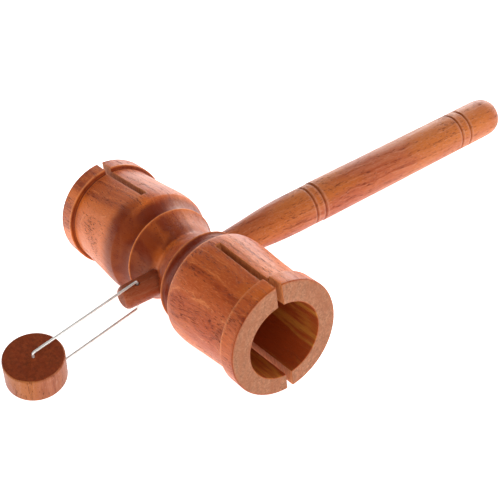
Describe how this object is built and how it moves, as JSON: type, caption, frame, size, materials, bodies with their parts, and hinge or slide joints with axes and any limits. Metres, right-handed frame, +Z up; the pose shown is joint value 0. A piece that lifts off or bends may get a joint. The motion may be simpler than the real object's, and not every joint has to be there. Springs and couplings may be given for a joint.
{
  "type": "two tone hand wood block",
  "caption": "Turned hardwood head with a slotted resonator barrel at each end, on a long turned handle; a wooden disc on a swinging wire loop strikes either barrel.",
  "frame": {"origin": "on the handle's axis, in the middle of the grip cylinder between the two pairs of turned grooves", "axes": "+Y runs along the handle towards its butt; +X runs along the head towards the barrel with the shallower bore; +Z is up, the side where the upper tone slots open"},
  "size_m": [0.1436, 0.2968, 0.053],
  "materials": {
    "head_wood": "clear lacquered reddish-brown turned hardwood, open pores",
    "handle_wood": "clear lacquered reddish-brown turned hardwood, streaked along the handle",
    "spring_wire": "drawn spring-steel wire, bright",
    "striker_wood": "lacquered reddish-brown turned hardwood"
  },
  "bodies": {
    "instrument": {"head": "head_wood", "handle": "handle_wood"},
    "wire": {"wire_loop": "spring_wire"},
    "striker": {"striker": "striker_wood"}
  },
  "joints": [
    {"name": "wire_swing", "type": "hinge", "parent": "instrument", "child": "wire", "pos_m": [0, -0.14952, 0], "axis": [0.2588, 0, 0.9659], "range_deg": [-88.5, 71.5]},
    {"name": "striker_spin", "type": "hinge", "parent": "wire", "child": "striker", "pos_m": [0.00823, -0.20579, -0.00448], "axis": [0.2588, 0, 0.9659], "continuous": true}
  ]
}
